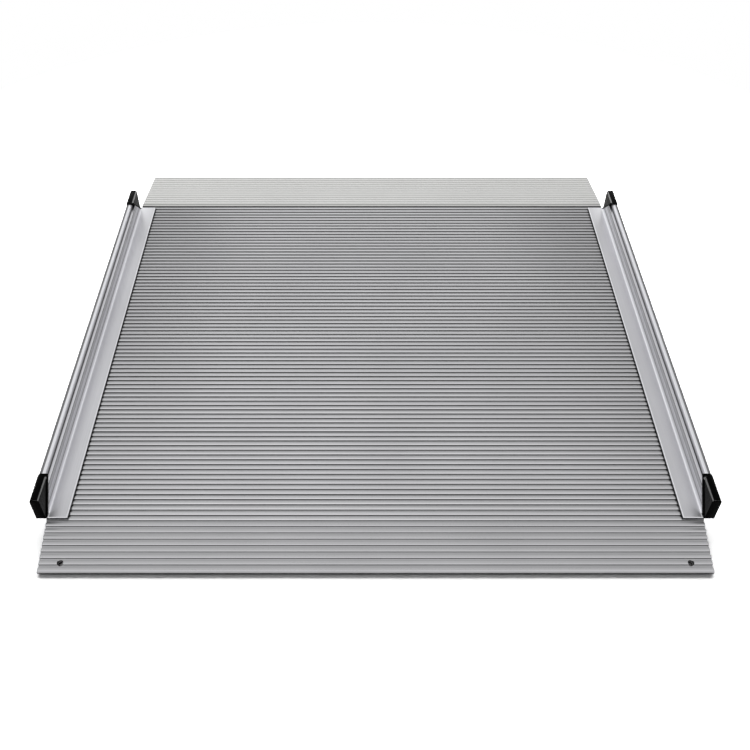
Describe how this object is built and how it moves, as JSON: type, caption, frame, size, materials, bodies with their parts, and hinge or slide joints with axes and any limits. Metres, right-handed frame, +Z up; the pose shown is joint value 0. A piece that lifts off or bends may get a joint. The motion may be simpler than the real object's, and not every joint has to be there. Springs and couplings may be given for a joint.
{
  "type": "wheelchair ramp",
  "caption": "Wide ribbed aluminium wheelchair ramp with raised kerb rails, black end caps, a sloping front lip with fixing holes and a hinged rear flap.",
  "frame": {"origin": "on the floor, midway across the ramp and midway along it from the nose of the lip to the toe of the flap", "axes": "+X across the ramp to the right as one faces up it, +Y along the ramp from the front lip to the rear flap, +Z up"},
  "size_m": [0.828, 0.8494, 0.06],
  "materials": {
    "deck_aluminium": "ribbed mill-finish extrusion, satin, worn bright on the edges of the ribs",
    "flap_aluminium": "light satin anodised, shallow ribs",
    "rail_aluminium": "satin anodised with faint drawing lines along its length",
    "cap_plastic": "black moulded plastic, semi-gloss",
    "rubber": "black extruded rubber, matt",
    "screw_steel": "zinc-plated steel"
  },
  "bodies": {
    "deck": {"front_lip": "deck_aluminium", "deck_plank_1": "deck_aluminium", "deck_plank_2": "deck_aluminium", "deck_plank_3": "deck_aluminium", "deck_plank_4": "deck_aluminium", "deck_plank_5": "deck_aluminium", "hinge_plank": "deck_aluminium", "left_rail": "rail_aluminium", "right_rail": "rail_aluminium", "front_left_cap": "cap_plastic", "front_right_cap": "cap_plastic", "rear_left_cap": "cap_plastic", "rear_right_cap": "cap_plastic", "nose_strip": "rubber", "deck_strip_1": "rubber", "deck_strip_2": "rubber", "deck_strip_3": "rubber", "rail_screw_left_01": "screw_steel", "rail_screw_left_02": "screw_steel", "rail_screw_left_03": "screw_steel", "rail_screw_left_04": "screw_steel", "rail_screw_left_05": "screw_steel", "rail_screw_left_06": "screw_steel", "rail_screw_left_07": "screw_steel", "rail_screw_left_08": "screw_steel", "rail_screw_left_09": "screw_steel", "rail_screw_left_10": "screw_steel", "rail_screw_left_11": "screw_steel", "rail_screw_left_12": "screw_steel", "rail_screw_left_13": "screw_steel", "rail_screw_right_01": "screw_steel", "rail_screw_right_02": "screw_steel", "rail_screw_right_03": "screw_steel", "rail_screw_right_04": "screw_steel", "rail_screw_right_05": "screw_steel", "rail_screw_right_06": "screw_steel", "rail_screw_right_07": "screw_steel", "rail_screw_right_08": "screw_steel", "rail_screw_right_09": "screw_steel", "rail_screw_right_10": "screw_steel", "rail_screw_right_11": "screw_steel", "rail_screw_right_12": "screw_steel", "rail_screw_right_13": "screw_steel"},
    "flap": {"rear_flap": "flap_aluminium", "toe_strip": "rubber", "hinge_screw_left": "screw_steel", "hinge_screw_right": "screw_steel"}
  },
  "joints": [
    {"name": "flap_hinge", "type": "hinge", "parent": "deck", "child": "flap", "pos_m": [0, 0.30211, 0.012], "axis": [1, 0, 0], "range_deg": [0, 30]}
  ]
}
